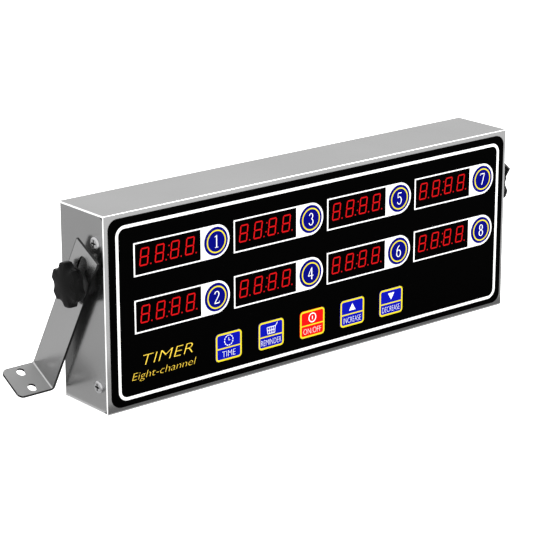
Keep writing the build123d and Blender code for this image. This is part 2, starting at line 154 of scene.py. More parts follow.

# %% [markdown]
# Three grey cards lie on the floor: one beside the left end, one along the front, and a darker
# strip close to the foot of the front. That strip is painted shade: it stands in for the shade on
# the floor right at the foot of the case, which the lower edge of the front mirrors. Each glows
# evenly, so no shadow falls on it. They are seen only in reflections, so they darken the steel
# without showing in the picture.

# %% Grey cards for the left end and the front, and painted shade at the foot of the front
cards = {
    "left_card": ((-1.05, -0.06), (-0.149, 0.85), 0.55),
    "front_card": ((-0.30, -0.085), (0.40, -0.031), 0.52),
    # painted shade: this darker strip stands in for the shade on the floor at the foot of the front
    "foot_card": ((-0.30, -0.031), (0.40, -0.0205), 0.20),
}
for name, (low, high, glow) in cards.items():
    card = flat_card(name, low, high, 0.0005, plain_paint(name + "_grey", 0.0, glow))
    for ray in ("visible_camera", "visible_diffuse", "visible_transmission", "visible_shadow"):
        setattr(card, ray, False)
print("cards:", ", ".join(cards))

# %% [markdown]
# ## Small tools for finishes
# Every finish below is a Principled shader with a few shared effects in front of it. An effect is a
# node group, built once, so that the same brushed grain can be used on the case and on the
# brackets with other values.

# %% Helpers that build groups and materials
def new_group(name, takes, gives):
    """An empty node group with named inputs and outputs."""
    tree = bpy.data.node_groups.new(name, "ShaderNodeTree")
    for socket_name, kind, value in takes:
        socket = tree.interface.new_socket(socket_name, in_out="INPUT", socket_type=kind)
        if value is not None:
            socket.default_value = value
    for socket_name, kind in gives:
        tree.interface.new_socket(socket_name, in_out="OUTPUT", socket_type=kind)
    return tree, tree.nodes.new("NodeGroupInput"), tree.nodes.new("NodeGroupOutput")


def node(tree, kind, links=None, **settings):
    """A node with its settings, and its inputs linked or given a value."""
    made = tree.nodes.new(kind)
    for key, value in settings.items():
        setattr(made, key, value)
    for key, value in (links or {}).items():
        if isinstance(value, bpy.types.NodeSocket):
            tree.links.new(value, made.inputs[key])
        else:
            made.inputs[key].default_value = value
    return made


def math_node(tree, operation, first, second=0.0, third=None):
    """The result of one sum."""
    values = {0: first, 1: second}
    if third is not None:
        values[2] = third
    return node(tree, "ShaderNodeMath", values, operation=operation).outputs[0]


def use_group(tree, group, links):
    """One placed copy of a group."""
    placed = tree.nodes.new("ShaderNodeGroup")
    placed.node_tree = group
    for key, value in links.items():
        if isinstance(value, bpy.types.NodeSocket):
            tree.links.new(value, placed.inputs[key])
        else:
            placed.inputs[key].default_value = value
    return placed


def new_material(name, colour, roughness, metallic=0.0, **sockets):
    """A Principled material with plain values, and the tree to add to."""
    made = bpy.data.materials.new(name)
    made.use_nodes = True
    shader = made.node_tree.nodes["Principled BSDF"]
    shader.inputs["Base Color"].default_value = (*colour, 1.0)
    shader.inputs["Roughness"].default_value = roughness
    shader.inputs["Metallic"].default_value = metallic
    for key, value in sockets.items():
        shader.inputs[key.replace("_", " ")].default_value = value
    return made, made.node_tree, shader


def stretched(tree, scale):
    """Object coordinates, stretched so that a pattern runs along an axis."""
    place = tree.nodes.new("ShaderNodeTexCoord").outputs["Object"]
    return node(tree, "ShaderNodeMapping", {"Vector": place, "Scale": scale}).outputs["Vector"]


def bump(tree, shader, height, distance, strength=1.0):
    """Feed a height into the shader's normal."""
    links = {"Height": height, "Distance": distance, "Strength": strength}
    made = node(tree, "ShaderNodeBump", links)
    tree.links.new(made.outputs["Normal"], shader.inputs["Normal"])


# %% [markdown]
# Brushed steel is covered in fine parallel scratches. They change how sharp a reflection is more
# than they change the colour. The group takes coordinates that are already stretched along the
# brushing, and gives a roughness and a height.

# %% Effect: brushed grain
def make_brushed_grain():
    tree, given, result = new_group(
        "brushed_grain",
        [
            ("Vector", "NodeSocketVector", None),
            ("Roughness", "NodeSocketFloat", 0.3),
            ("Spread", "NodeSocketFloat", 0.05),
        ],
        [("Roughness", "NodeSocketFloat"), ("Height", "NodeSocketFloat")],
    )
    grain = node(
        tree,
        "ShaderNodeTexNoise",
        {"Vector": given.outputs["Vector"], "Scale": 1.0, "Detail": 3.0, "Roughness": 0.6},
    )
    centred = math_node(tree, "SUBTRACT", grain.outputs[0], 0.5)
    spread, middle = given.outputs["Spread"], given.outputs["Roughness"]
    varied = math_node(tree, "MULTIPLY_ADD", centred, spread, middle)
    tree.links.new(varied, result.inputs["Roughness"])
    tree.links.new(grain.outputs[0], result.inputs["Height"])
    return tree


brushed_grain = make_brushed_grain()
print("group:", brushed_grain.name)

# %% [markdown]
# A panel that has been handled is never quite even: there are faint broad clouds where a cloth has
# wiped it. This group gives a soft factor, which shifts a colour by a few percent.

# %% Effect: wiped clouds
def make_wiped_clouds():
    tree, given, result = new_group(
        "wiped_clouds",
        [
            ("Vector", "NodeSocketVector", None),
            ("Scale", "NodeSocketFloat", 20.0),
            ("Low", "NodeSocketFloat", 0.95),
            ("High", "NodeSocketFloat", 1.05),
        ],
        [("Factor", "NodeSocketFloat")],
    )
    clouds = node(
        tree,
        "ShaderNodeTexNoise",
        {"Vector": given.outputs["Vector"], "Scale": given.outputs["Scale"], "Detail": 2.0},
    )
    spread = node(
        tree,
        "ShaderNodeMapRange",
        {
            "Value": clouds.outputs[0],
            "From Min": 0.3,
            "From Max": 0.7,
            "To Min": given.outputs["Low"],
            "To Max": given.outputs["High"],
        },
    )
    tree.links.new(spread.outputs["Result"], result.inputs["Factor"])
    return tree


wiped_clouds = make_wiped_clouds()
print("group:", wiped_clouds.name)

# %% [markdown]
# Moulded plastic and printed film copy the texture of the steel tool they were made on. A fine even
# noise, a hundredth of a millimetre high or less, breaks up their highlights.

# %% Effect: mould grain
def make_mould_grain():
    tree, given, result = new_group(
        "mould_grain",
        [
            ("Scale", "NodeSocketFloat", 2500.0),
            ("Roughness", "NodeSocketFloat", 0.4),
            ("Spread", "NodeSocketFloat", 0.1),
        ],
        [("Roughness", "NodeSocketFloat"), ("Height", "NodeSocketFloat")],
    )
    place = tree.nodes.new("ShaderNodeTexCoord").outputs["Object"]
    grain = node(
        tree,
        "ShaderNodeTexNoise",
        {"Vector": place, "Scale": given.outputs["Scale"], "Detail": 2.0},
    )
    centred = math_node(tree, "SUBTRACT", grain.outputs[0], 0.5)
    spread, middle = given.outputs["Spread"], given.outputs["Roughness"]
    varied = math_node(tree, "MULTIPLY_ADD", centred, spread, middle)
    tree.links.new(varied, result.inputs["Roughness"])
    tree.links.new(grain.outputs[0], result.inputs["Height"])
    return tree


mould_grain = make_mould_grain()
print("group:", mould_grain.name)

# %% [markdown]
# ## Steel
# The case is one sheet folded into a U, closed by a second folded sheet. Its satin face is brushed
# along the case. At its cut ends the sheet is painted nearly white and not metallic: a painted
# highlight, for the bright line that the light draws along those edges.

# %% Satin steel for the case


def satin_steel(name, colour, roughness, stretch):
    """Brushed steel; gives the material, its tree and its shader."""
    tint = (0.8, 0.8, 0.8, 1.0)
    made, tree, shader = new_material(name, colour, roughness, metallic=1.0, Specular_Tint=tint)
    grain = use_group(
        tree,
        brushed_grain,
        {"Vector": stretched(tree, stretch), "Roughness": roughness, "Spread": 0.08},
    )
    tree.links.new(grain.outputs["Roughness"], shader.inputs["Roughness"])
    bump(tree, shader, grain.outputs["Height"], 0.00001, 0.10)
    clouds = use_group(tree, wiped_clouds, {"Vector": stretched(tree, (1, 1, 1)), "Scale": 14.0})
    tinted = node(
        tree,
        "ShaderNodeVectorMath",
        {0: colour, "Scale": clouds.outputs["Factor"]},
        operation="SCALE",
    )
    tree.links.new(tinted.outputs["Vector"], shader.inputs["Base Color"])
    return made, tree, shader, tinted.outputs["Vector"]


def mix_by_mask(tree, shader, mask, socket, plain, masked):
    """Where the mask is 1 the socket gets the masked value."""
    kind = "RGBA" if socket == "Base Color" else "FLOAT"
    mixer = tree.nodes.new("ShaderNodeMix")
    mixer.data_type = kind
    first, second = (6, 7) if kind == "RGBA" else (2, 3)
    tree.links.new(mask, mixer.inputs[0])
    for index, value in ((first, plain), (second, masked)):
        if isinstance(value, bpy.types.NodeSocket):
            tree.links.new(value, mixer.inputs[index])
        else:
            mixer.inputs[index].default_value = value
    output = mixer.outputs[2] if kind == "RGBA" else mixer.outputs[0]
    tree.links.new(output, shader.inputs[socket])


case_grey = (0.48, 0.48, 0.48)


def cover_steel():
    """Satin steel with a painted highlight on its cut ends."""
    made, tree, shader, tinted = satin_steel("cover_steel", case_grey, 0.22, (30, 3000, 3000))
    place = tree.nodes.new("ShaderNodeTexCoord").outputs["Object"]
    spot = node(tree, "ShaderNodeSeparateXYZ", {"Vector": place}).outputs
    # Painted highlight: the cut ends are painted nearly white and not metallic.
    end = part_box("front_cover")[1].x - 0.05 * MM
    mask = math_node(tree, "GREATER_THAN", math_node(tree, "ABSOLUTE", spot["X"]), end)
    mix_by_mask(tree, shader, mask, "Base Color", tinted, (0.95, 0.95, 0.95, 1.0))
    mix_by_mask(tree, shader, mask, "Metallic", 1.0, 0.0)
    return made


case_cover = cover_steel()
case_chassis = satin_steel("chassis_steel", case_grey, 0.23, (30, 30, 3000))[0]
print("steel:", case_cover.name, case_chassis.name)

# %% [markdown]
# The brackets are sheared from strip and folded. Their cut edges are painted near black: painted
# shade, for the dark that those narrow faces mirror and the shade in the gap beside the case. The
# mask finds those edges from the direction that a face points in, turned by the same tilt as the
# leg, and from its place at an end or a rim of the strip.
# The face towards the case is painted a darker grey here, as painted shade, so that the end plate
# mirrors it as a dark band. The flat of the foot is painted a darker grey too, as painted shade, and
# is rougher and less metallic.

# %% Bracket steel with painted shade on its cut edges
bracket_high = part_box("right_bracket")[1]
slide = next(j for j in frame["joints"] if j["name"] == "right_bracket_slide")
leg_down = Vector(slide["axis"])
leg_across = Vector((0, -leg_down.z, leg_down.y))
leg_points = [v.co for v in nodes["right_bracket"].data.vertices]
leg_end = max(p.dot(-leg_down) for p in leg_points)
leg_sides = sorted(p.dot(leg_across) for p in leg_points)
bracket_tilt = degrees(asin(leg_down.y))


# Painted shade: the cut edges are painted near black.
edge_shade_grey = (0.03, 0.03, 0.03, 1.0)
# Painted shade: the flat of the foot and the face towards the case get darker greys.
foot_flat_shade = (0.36, 0.36, 0.36, 1.0)
inner_face_shade = (0.22, 0.22, 0.22, 1.0)
rim_width = 0.3 * MM
edge_margin = 0.1 * MM


def measured_along(tree, coordinate, direction):
    """How far a coordinate reaches along a direction."""
    links = {0: coordinate, 1: direction}
    return node(tree, "ShaderNodeVectorMath", links, operation="DOT_PRODUCT").outputs["Value"]


def either(tree, *masks):
    """One mask that is 1 where any of the given masks is."""
    joined = masks[0]
    for mask in masks[1:]:
        joined = math_node(tree, "MAXIMUM", joined, mask)
    return joined


def size_of(tree, value):
    """A value without its sign."""
    return math_node(tree, "ABSOLUTE", value)


def shaded_edge_mask(tree, coords):
    """A mask of the strip's cut edges, which get painted shade: sides, hole walls, top end and toe.
    """
    turned = measured_along(tree, coords.outputs["Normal"], leg_across)
    sides = math_node(tree, "GREATER_THAN", size_of(tree, turned), 0.3)
    height = measured_along(tree, coords.outputs["Object"], -leg_down)
    top_end = math_node(tree, "GREATER_THAN", height, leg_end - edge_margin)
    x = node(tree, "ShaderNodeSeparateXYZ", {"Vector": coords.outputs["Object"]}).outputs["X"]
    toe = math_node(tree, "GREATER_THAN", size_of(tree, x), bracket_high.x - edge_margin)
    centre = (leg_sides[0] + leg_sides[-1]) / 2
    half = (leg_sides[-1] - leg_sides[0]) / 2
    across = measured_along(tree, coords.outputs["Object"], leg_across)
    from_centre = size_of(tree, math_node(tree, "SUBTRACT", across, centre))
    rim = math_node(tree, "GREATER_THAN", from_centre, half - rim_width)
    return either(tree, sides, top_end, toe, rim)


def bracket_steel():
    """Satin steel with painted shade: near-black cut edges, a darker inner face and a darker, duller
    foot.
    """
    grey = (0.57, 0.57, 0.57)
    made, tree, shader, tinted = satin_steel("bracket_steel", grey, 0.25, (3000, 3000, 60))
    coords = tree.nodes.new("ShaderNodeTexCoord")
    normal = node(tree, "ShaderNodeSeparateXYZ", {"Vector": coords.outputs["Normal"]})
    place = node(tree, "ShaderNodeSeparateXYZ", {"Vector": coords.outputs["Object"]})
    outward = math_node(tree, "MULTIPLY", normal.outputs["X"], place.outputs["X"])
    layers = (
        (math_node(tree, "GREATER_THAN", normal.outputs["Z"], 0.8), foot_flat_shade),
        (math_node(tree, "LESS_THAN", outward, -0.05), inner_face_shade),
        (shaded_edge_mask(tree, coords), edge_shade_grey),
    )
    for mask, colour in layers:
        mix_by_mask(tree, shader, mask, "Base Color", tinted, colour)
        tinted = shader.inputs["Base Color"].links[0].from_socket
    foot = layers[0][0]
    grain = shader.inputs["Roughness"].links[0].from_socket
    mix_by_mask(tree, shader, foot, "Roughness", grain, 0.6)
    mix_by_mask(tree, shader, foot, "Metallic", 1.0, 0.2)
    return made


strip_steel = bracket_steel()
print("leg tilt:", round(bracket_tilt, 1), "degrees")

# %% [markdown]
# Screws are bright plated steel: smoother than the case, so that each one carries a small sharp
# picture of the studio. The cross in the head of a case screw is painted near black, as painted
# shade in the recess. Brass and the drawn can of the capacitor are made the same way.

# %% Bright plating, brass and can
def bright_metal(name, colour, roughness):
    """Turned or plated metal with a trace of grain."""
    made, tree, shader = new_material(name, colour, roughness, metallic=1.0)
    grain = use_group(tree, mould_grain, {"Scale": 900.0, "Roughness": roughness, "Spread": 0.08})
    tree.links.new(grain.outputs["Roughness"], shader.inputs["Roughness"])
    return made


plated = bright_metal("plated_steel", (0.72, 0.72, 0.73), 0.10)

screw_head = 7.0 * MM
recess_reach = 0.31 * screw_head
recess_lip = 0.2 * MM


def screw_steel():
    """Bright plating with painted shade in its cross recess."""
    grey = (0.62, 0.62, 0.63)
    made = bright_metal("screw_steel", grey, 0.12)
    tree = made.node_tree
    shader = tree.nodes["Principled BSDF"]
    low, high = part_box("cover_screws")
    middle = (low + high) / 2
    screw_lift = (high.z - low.z) / 2 - screw_head / 2
    place = tree.nodes.new("ShaderNodeTexCoord").outputs["Object"]
    spot = node(tree, "ShaderNodeSeparateXYZ", {"Vector": place}).outputs
    dy = math_node(tree, "SUBTRACT", spot["Y"], middle.y)
    from_middle = size_of(tree, math_node(tree, "SUBTRACT", spot["Z"], middle.z))
    dz = math_node(tree, "SUBTRACT", from_middle, screw_lift)
    squares = [math_node(tree, "MULTIPLY", step, step) for step in (dy, dz)]
    near = math_node(tree, "LESS_THAN", math_node(tree, "ADD", *squares), recess_reach**2)
    sunk = math_node(tree, "LESS_THAN", size_of(tree, spot["X"]), high.x - recess_lip)
    mask = math_node(tree, "MULTIPLY", near, sunk)
    # Painted shade: the cross recess is painted near black.
    mix_by_mask(tree, shader, mask, "Base Color", (*grey, 1.0), (0.01, 0.01, 0.01, 1.0))
    return made


case_screw = screw_steel()
brass = bright_metal("turned_brass", (0.80, 0.60, 0.28), 0.25)
can = bright_metal("drawn_can", (0.70, 0.71, 0.73), 0.28)

# %% [markdown]
# ## Plastics and film
# The front panel is a black printed film with almost no sheen, and the windows are smoother. The
# knobs are moulded with a semi-gloss skin. The keys are the same film, printed in colour.

# %% Plastic, film and ink
def moulded(name, colour, roughness, grain_scale=2500.0, height=0.00001, **sockets):
    """Plastic with the texture of its mould."""
    made, tree, shader = new_material(name, colour, roughness, **sockets)
    links = {"Scale": grain_scale, "Roughness": roughness, "Spread": 0.12}
    grain = use_group(tree, mould_grain, links)
    tree.links.new(grain.outputs["Roughness"], shader.inputs["Roughness"])
    bump(tree, shader, grain.outputs["Height"], height, 0.3)
    return made


panel_film = moulded("panel_film", (0.0006, 0.0006, 0.0006), 0.35, Specular_IOR_Level=0.003)
smoked_lens = moulded(
    "smoked_lens", (0.0005, 0.0003, 0.0003), 0.12, height=0.000002, Specular_IOR_Level=0.004
)
blue_film = moulded("blue_film", (0.002, 0.005, 0.33), 0.38, Specular_IOR_Level=0.008)
key_blue = moulded("key_blue", (0.001, 0.002, 0.15), 0.38, Specular_IOR_Level=0.008)
red_film = moulded("red_film", (0.95, 0.003, 0.003), 0.38, Specular_IOR_Level=0.02)
white_ink = moulded("white_ink", (0.95, 0.95, 0.95), 0.45, Specular_IOR_Level=0.1)
yellow_ink = moulded("yellow_ink", (0.70, 0.58, 0.015), 0.45, Specular_IOR_Level=0.05)
gold_ink = moulded("gold_ink", (0.86, 0.60, 0.06), 0.45, Specular_IOR_Level=0.05)
knob_black = moulded(
    "knob_black", (0.004, 0.004, 0.004), 0.24, grain_scale=1800.0, Specular_IOR_Level=0.07
)
nylon_black = moulded("nylon_black", (0.02, 0.02, 0.02), 0.5)
housing_black = moulded("housing_black", (0.02, 0.02, 0.02), 0.55)
board_green = moulded("board_green", (0.02, 0.16, 0.06), 0.35)
epoxy_black = moulded("epoxy_black", (0.015, 0.015, 0.015), 0.5)
wire_red = moulded("wire_red", (0.45, 0.02, 0.02), 0.4)
nylon_pale = moulded("nylon_pale", (0.75, 0.73, 0.66), 0.5)


# %% [markdown]
# The digits are the only thing on the object that gives light. Their red is set as an emission
# colour, just bright enough to show at full strength and not so bright that it bleeds.

# %% Lit red
def lit_red():
    made, _, shader = new_material("lit_red", (0.02, 0.0, 0.0), 0.4, Specular_IOR_Level=0.01)
    shader.inputs["Emission Color"].default_value = (0.80, 0.008, 0.010, 1.0)
    shader.inputs["Emission Strength"].default_value = 1.0
    return made


lit = lit_red()

# %% [markdown]
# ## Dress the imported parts
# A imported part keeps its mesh. Its finish goes into its material slot.

# %% Put each finish on its parts
finishes = {
    "front_cover": case_cover,
    "rear_chassis": case_chassis,
    "panel_overlay": panel_film,
    "display_windows": smoked_lens,
    "power_key": red_film,
    "main_board": board_green,
    "board_standoffs": brass,
    "filter_capacitor": can,
    "power_lead": wire_red,
    "lead_plug": nylon_pale,
}
families = [
    (("cover_screws",), case_screw),
    (("cover_nuts", "board_screws", "power_jack_nut", "knob_stud"), plated),
    (("channel_key_",), key_blue),
    (("_key",), blue_film),
    (("display_module_", "key_switches", "buzzer", "power_jack"), housing_black),
    (("control_chip", "display_drivers", "voltage_regulator"), epoxy_black),
    (("_bracket",), strip_steel),
    (("_washer",), nylon_black),
    (("_insert",), brass),
    (("_knob",), knob_black),
]


def finish_of(name):
    """The finish named for this part, or for the first family it belongs to."""
    if name in finishes:
        return finishes[name]
    return next(paint for words, paint in families if any(word in name for word in words))


for name, part in nodes.items():
    part.data.materials.clear()
    part.data.materials.append(finish_of(name))
print("dressed", len(nodes), "parts")

# %% [markdown]
# ## Printing
# Ink is a very thin raised layer. Each print starts as one or more closed outlines in the plane of
# the panel. The outlines are filled, an outline inside another one leaves a hole, and the filled
# shape is then pulled forward by the thickness of the ink.

# %% Outlines and ink
ink = 0.05 * MM
arc_steps = 10


def arc(x, z, radius, start, end, steps=arc_steps):
    """Points along an arc, from one angle to another in degrees."""
    turns = [radians(start + (end - start) * i / steps) for i in range(steps + 1)]
    return [(x + radius * cos(a), z + radius * sin(a)) for a in turns]


def circle(x, z, radius, steps=64):
    """A closed circle."""
    return arc(x, z, radius, 0, 360, steps)[:-1]


def rounded(x, z, width, height, radius):
    """A closed rectangle with round corners."""
    dx, dz = width / 2 - radius, height / 2 - radius
    corners = ((dx, dz, 0), (-dx, dz, 90), (-dx, -dz, 180), (dx, -dz, 270))
    return [p for cx, cz, a in corners for p in arc(x + cx, z + cz, radius, a, a + 90)]


def outlined(x, z, width, height, radius, line):
    """A rounded rectangle drawn as a line: its outer outline and the hole in it."""
    outer = rounded(x, z, width, height, radius)
    return [outer, rounded(x, z, width - 2 * line, height - 2 * line, radius - line)]


def bar(x0, z0, x1, z1, width):
    """A straight stroke between two points."""
    along = Vector((x1 - x0, z1 - z0)).normalized() * (width / 2)
    side = Vector((-along.y, along.x))
    ends = ((x0, z0, side), (x0, z0, -side), (x1, z1, -side), (x1, z1, side))
    return [(x + s.x, z + s.y) for x, z, s in ends]


def fill_outlines(bm, outlines, face_y):
    """Fill one shape: its outer outline and any holes in it."""
    edges = []
    for points in outlines:
        ring = [bm.verts.new((x, face_y, z)) for x, z in points]
        edges += [bm.edges.new((ring[i - 1], ring[i])) for i in range(len(ring))]
    filled = bmesh.ops.triangle_fill(bm, use_beauty=True, use_dissolve=False, edges=edges)
    return [g for g in filled["geom"] if isinstance(g, bmesh.types.BMFace)]


def add_piece(name, bm, paint, body):
    """Turn a bmesh into a piece of the object that rides on a body."""
    bmesh.ops.recalc_face_normals(bm, faces=bm.faces)
    mesh = bpy.data.meshes.new(name)
    bm.to_mesh(mesh)
    bm.free()
    mesh.materials.append(paint)
    piece = bpy.data.objects.new(name, mesh)
    scene.collection.objects.link(piece)
    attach(piece, body)
    return piece


def printed(name, shapes, face_y, paint, body):
    """Ink for a list of shapes, each a list of outlines."""
    bm = bmesh.new()
    for outlines in shapes:
        fill_outlines(bm, outlines, face_y)
    pulled = bmesh.ops.extrude_face_region(bm, geom=bm.faces[:])
    moved = [g for g in pulled["geom"] if isinstance(g, bmesh.types.BMVert)]
    bmesh.ops.translate(bm, verts=moved, vec=(0, -ink, 0))
    return add_piece(name, bm, paint, body)


# %% [markdown]
# The white print is one layer: a border around the panel, and for each channel a line around the
# window that widens into a round-ended field behind the key. Its places come from the boxes of the
# panel, the display modules and the keys.

# %% Border, window frames and key fields
panel_low, panel_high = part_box("panel_overlay")
panel_face = panel_low.y
border_left, border_right = 4.2 * MM, 3.9 * MM
border_top, border_bottom = 4.0 * MM, 3.3 * MM
border_line = 1.7 * MM
border_corner = 5.8 * MM
window_size = (43.4 * MM, 17.0 * MM)
window_drop = 0.8 * MM
frame_line = 0.85 * MM
field_radius = 9.25 * MM
key_gap = 0.15 * MM


def middle_of(name):
    """The middle of a part's box."""
    low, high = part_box(name)
    return (low + high) / 2


def window_middle(channel):
    """A window's middle, a little below the middle of its display module."""
    module = middle_of(f"display_module_{channel}")
    return module.x, module.z - window_drop


def border_shape():
    """The rounded line around the panel."""
    left, right = panel_low.x + border_left, panel_high.x - border_right
    bottom, top = panel_low.z + border_bottom, panel_high.z - border_top
    x, z, width, height = (left + right) / 2, (bottom + top) / 2, right - left, top - bottom
    return outlined(x, z, width, height, border_corner, border_line)


def channel_shape(channel):
    """Window frame and key field of one channel."""
    x, z = window_middle(channel)
    key = middle_of(f"channel_key_{channel}")
    left = x - window_size[0] / 2 - frame_line
    outer = [(left, z + field_radius), (left, z - field_radius)]
    outer += arc(key.x, z, field_radius, -90, 90, 32)
    window = rounded(x, z, *window_size, 0.4 * MM)
    key_radius = (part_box(f"channel_key_{channel}")[1].x - key.x) + key_gap
    return [outer, window, circle(key.x, key.z, key_radius)]


channels = range(1, 9)
white_shapes = [border_shape()] + [channel_shape(channel) for channel in channels]
printed("panel_white_print", white_shapes, panel_face, white_ink, "case")
print("white print:", len(white_shapes), "shapes")

# %% [markdown]
# ## Digits
# A seven-segment digit is seven bars with pointed ends. One bar is a cube, stretched and with the
# four edges that run from front to back bevelled until the ends are points. Four digits, their
# points and a colon are made upright and then sheared together, so that all of them lean alike.

# %% Seven-segment displays
digit_width, digit_height = 5.65 * MM, 9.8 * MM
digit_pitch = 10.02 * MM
stroke = 0.72 * MM
segment_gap = 0.22 * MM
digits_left = -19.0 * MM
digits_bottom = -4.1 * MM
digit_lean = 7.2
point_offset = 7.55 * MM
colon_x = -0.3 * MM
colon_heights = (2.8 * MM, 7.8 * MM)
light_depth = 0.06 * MM


def add_segment(bm, x, z, length, upright):
    """One bar with pointed ends, centred at x, z."""
    cube = bmesh.ops.create_cube(bm, size=1.0)["verts"]
    size = (stroke, light_depth, length) if upright else (length, light_depth, stroke)
    bmesh.ops.scale(bm, verts=cube, vec=size)
    edges = {e for v in cube for e in v.link_edges}
    corners = [e for e in edges if abs(e.verts[0].co.y - e.verts[1].co.y) > 0.5 * light_depth]
    bmesh.ops.translate(bm, verts=cube, vec=(x, -light_depth / 2, z))
    bmesh.ops.bevel(
        bm,
        geom=corners,
        offset=stroke * 0.49,
        offset_type="OFFSET",
        segments=1,
        profile=0.5,
        affect="EDGES",
        material=-1,
    )


def add_digit(bm, left):
    """All seven bars of one digit."""
    half = stroke / 2
    middle = digit_height / 2
    level = digit_width - stroke - 2 * segment_gap + half
    for z in (half, middle, digit_height - half):
        add_segment(bm, left + digit_width / 2, z, level, False)
    upright = middle - half - 2 * segment_gap + half / 2
    for x in (left + half, left + digit_width - half):
        for z in ((middle + half) / 2, (digit_height - half + middle) / 2):
            add_segment(bm, x, z, upright, True)


def add_dot(bm, x, z):
    """A small round light."""
    made = bmesh.ops.create_cone(
        bm, cap_ends=True, segments=16, radius1=0.40 * MM, radius2=0.40 * MM, depth=light_depth
    )["verts"]
    bmesh.ops.rotate(bm, verts=made, cent=(0, 0, 0), matrix=Matrix.Rotation(pi / 2, 3, "X"))
    bmesh.ops.translate(bm, verts=made, vec=(x, -light_depth / 2, z))


def light_display(channel):
    """The lit face of one display."""
    bm = bmesh.new()
    for i in range(4):
        left = digits_left + i * digit_pitch
        add_digit(bm, left)
        add_dot(bm, left + point_offset, stroke / 2)
    for z in colon_heights:
        add_dot(bm, colon_x, z)
    lean = Matrix(((1, 0, tan(radians(digit_lean)), 0), (0, 1, 0, 0), (0, 0, 1, 0), (0, 0, 0, 1)))
    bmesh.ops.transform(bm, matrix=lean, verts=bm.verts)
    x, z = window_middle(channel)
    bmesh.ops.translate(bm, verts=bm.verts, vec=(x, panel_face, z + digits_bottom))
    return add_piece(f"digits_{channel}", bm, lit, "case")


for channel in channels:
    light_display(channel)
print("lit displays:", len(channels))

# %% [markdown]
# ## Lettering
# Blender's text object draws the words. Its letters are thinned a little, turned into a mesh, fitted
# to the height and width they have on the panel, stood up and set on the film. The function keys
# use the same tool for their labels.

# %% Words on the panel
def lettering(name, words, middle, size, face_y, paint, body, lean=0.0, thinning=0.026):
    """Raised words that fill size = (width, height) around the middle."""
    curve = bpy.data.curves.new(name, "FONT")
    curve.body = words
    curve.shear = lean
    curve.offset = -thinning
    curve.extrude = 0.5
    curve.resolution_u = 6
    holder = bpy.data.objects.new(name, curve)
    mesh = bpy.data.meshes.new_from_object(holder)
    bpy.data.objects.remove(holder)
    low = Vector([min(v.co[i] for v in mesh.vertices) for i in range(3)])
    high = Vector([max(v.co[i] for v in mesh.vertices) for i in range(3)])
    span = high - low
    centre = Matrix.Translation(-(low + high) / 2)
    fit = Matrix.Diagonal((size[0] / span.x, size[1] / span.y, ink / span.z, 1))
    stand = Matrix.Rotation(pi / 2, 4, "X")
    place = Matrix.Translation((middle[0], face_y - ink / 2, middle[1]))
    mesh.transform(place @ stand @ fit @ centre)
    bm = bmesh.new()
    bm.from_mesh(mesh)
    bpy.data.meshes.remove(mesh)
    bmesh.ops.remove_doubles(bm, verts=bm.verts, dist=0.001 * MM)
    return add_piece(name, bm, paint, body)


gold_lines = [
    ("TIMER", (-106.7 * MM, 26.3 * MM), (33.2 * MM, 5.6 * MM), 0.25),
    ("Eight-channel", (-109.3 * MM, 17.6 * MM), (42.8 * MM, 5.2 * MM), 0.25),
]
for words, middle, size, lean in gold_lines:
    name = "panel_" + words.lower().replace("-", "_")
    lettering(name, words, middle, size, panel_face, gold_ink, "case", lean, 0.025)
print("lines of lettering:", len(gold_lines))

# %% [markdown]
# The numerals on the channel keys are slender, with thick upright strokes, thin level ones and small
# feet. Each is a few straight bars and a few bands. A band is a piece of an oval ring that is
# thicker at its sides than at its top. Sizes here are in millimetres from the middle of the key.

# %% Numerals on the channel keys
thick, thin = 0.55, 0.36
whole = (0, 360)
numeral_bars = {
    1: [
        (0.15, -3.4, 0.15, 3.5, 0.6),
        (-0.95, -3.35, 1.25, -3.35, 0.3),
        (0.1, 3.3, -1.0, 2.6, 0.35),
    ],
    2: [(1.4, 1.1, -1.45, -3.1, 0.45), (-1.6, -3.3, 1.7, -3.3, 0.5), (1.6, -3.4, 1.75, -2.4, 0.25)],
    3: [],
    4: [(0.7, -3.5, 0.7, 3.5, 0.6), (0.6, 3.4, -1.8, -1.2, 0.35), (-1.9, -1.3, 1.8, -1.3, 0.4)],
    5: [(-1.15, 3.25, 1.5, 3.25, 0.5), (-1.1, 3.3, -1.3, 0.5, 0.35)],
    6: [],
    7: [(-1.6, 3.25, 1.7, 3.25, 0.5), (-1.55, 3.4, -1.65, 2.3, 0.25), (1.55, 3.1, -0.5, -3.5, 0.5)],
    8: [],
}
numeral_bands = {
    1: [],
    2: [(0.0, 1.75, 1.7, 1.8, -25, 170)],
    3: [(0.0, 1.75, 1.5, 1.8, -75, 165), (0.0, -1.6, 1.7, 1.95, -165, 80)],
    4: [],
    5: [(-0.1, -1.2, 1.8, 2.35, -160, 130)],
    6: [(0.0, -1.35, 1.75, 2.2, *whole), (1.4, -1.0, 3.15, 4.5, 105, 178)],
    7: [],
    8: [(0.0, 1.75, 1.45, 1.8, *whole), (0.0, -1.65, 1.75, 1.9, *whole)],
}


def oval(x, z, rx, rz, start, end):
    """Points along an oval arc."""
    turns = [radians(start + (end - start) * i / 24) for i in range(25)]
    return [(x + rx * cos(a), z + rz * sin(a)) for a in turns]


def band(spot, x, z, rx, rz, start, end):
    """A piece of an oval ring, or the whole ring with its hole."""
    x, z, rx, rz = spot.x + x * MM, spot.z + z * MM, rx * MM, rz * MM
    outer = oval(x, z, rx, rz, start, end)
    inner = oval(x, z, rx - thick * MM, rz - thin * MM, start, end)
    if end - start == 360:
        return [outer[:-1], inner[:-1]]
    return [outer + inner[::-1]]


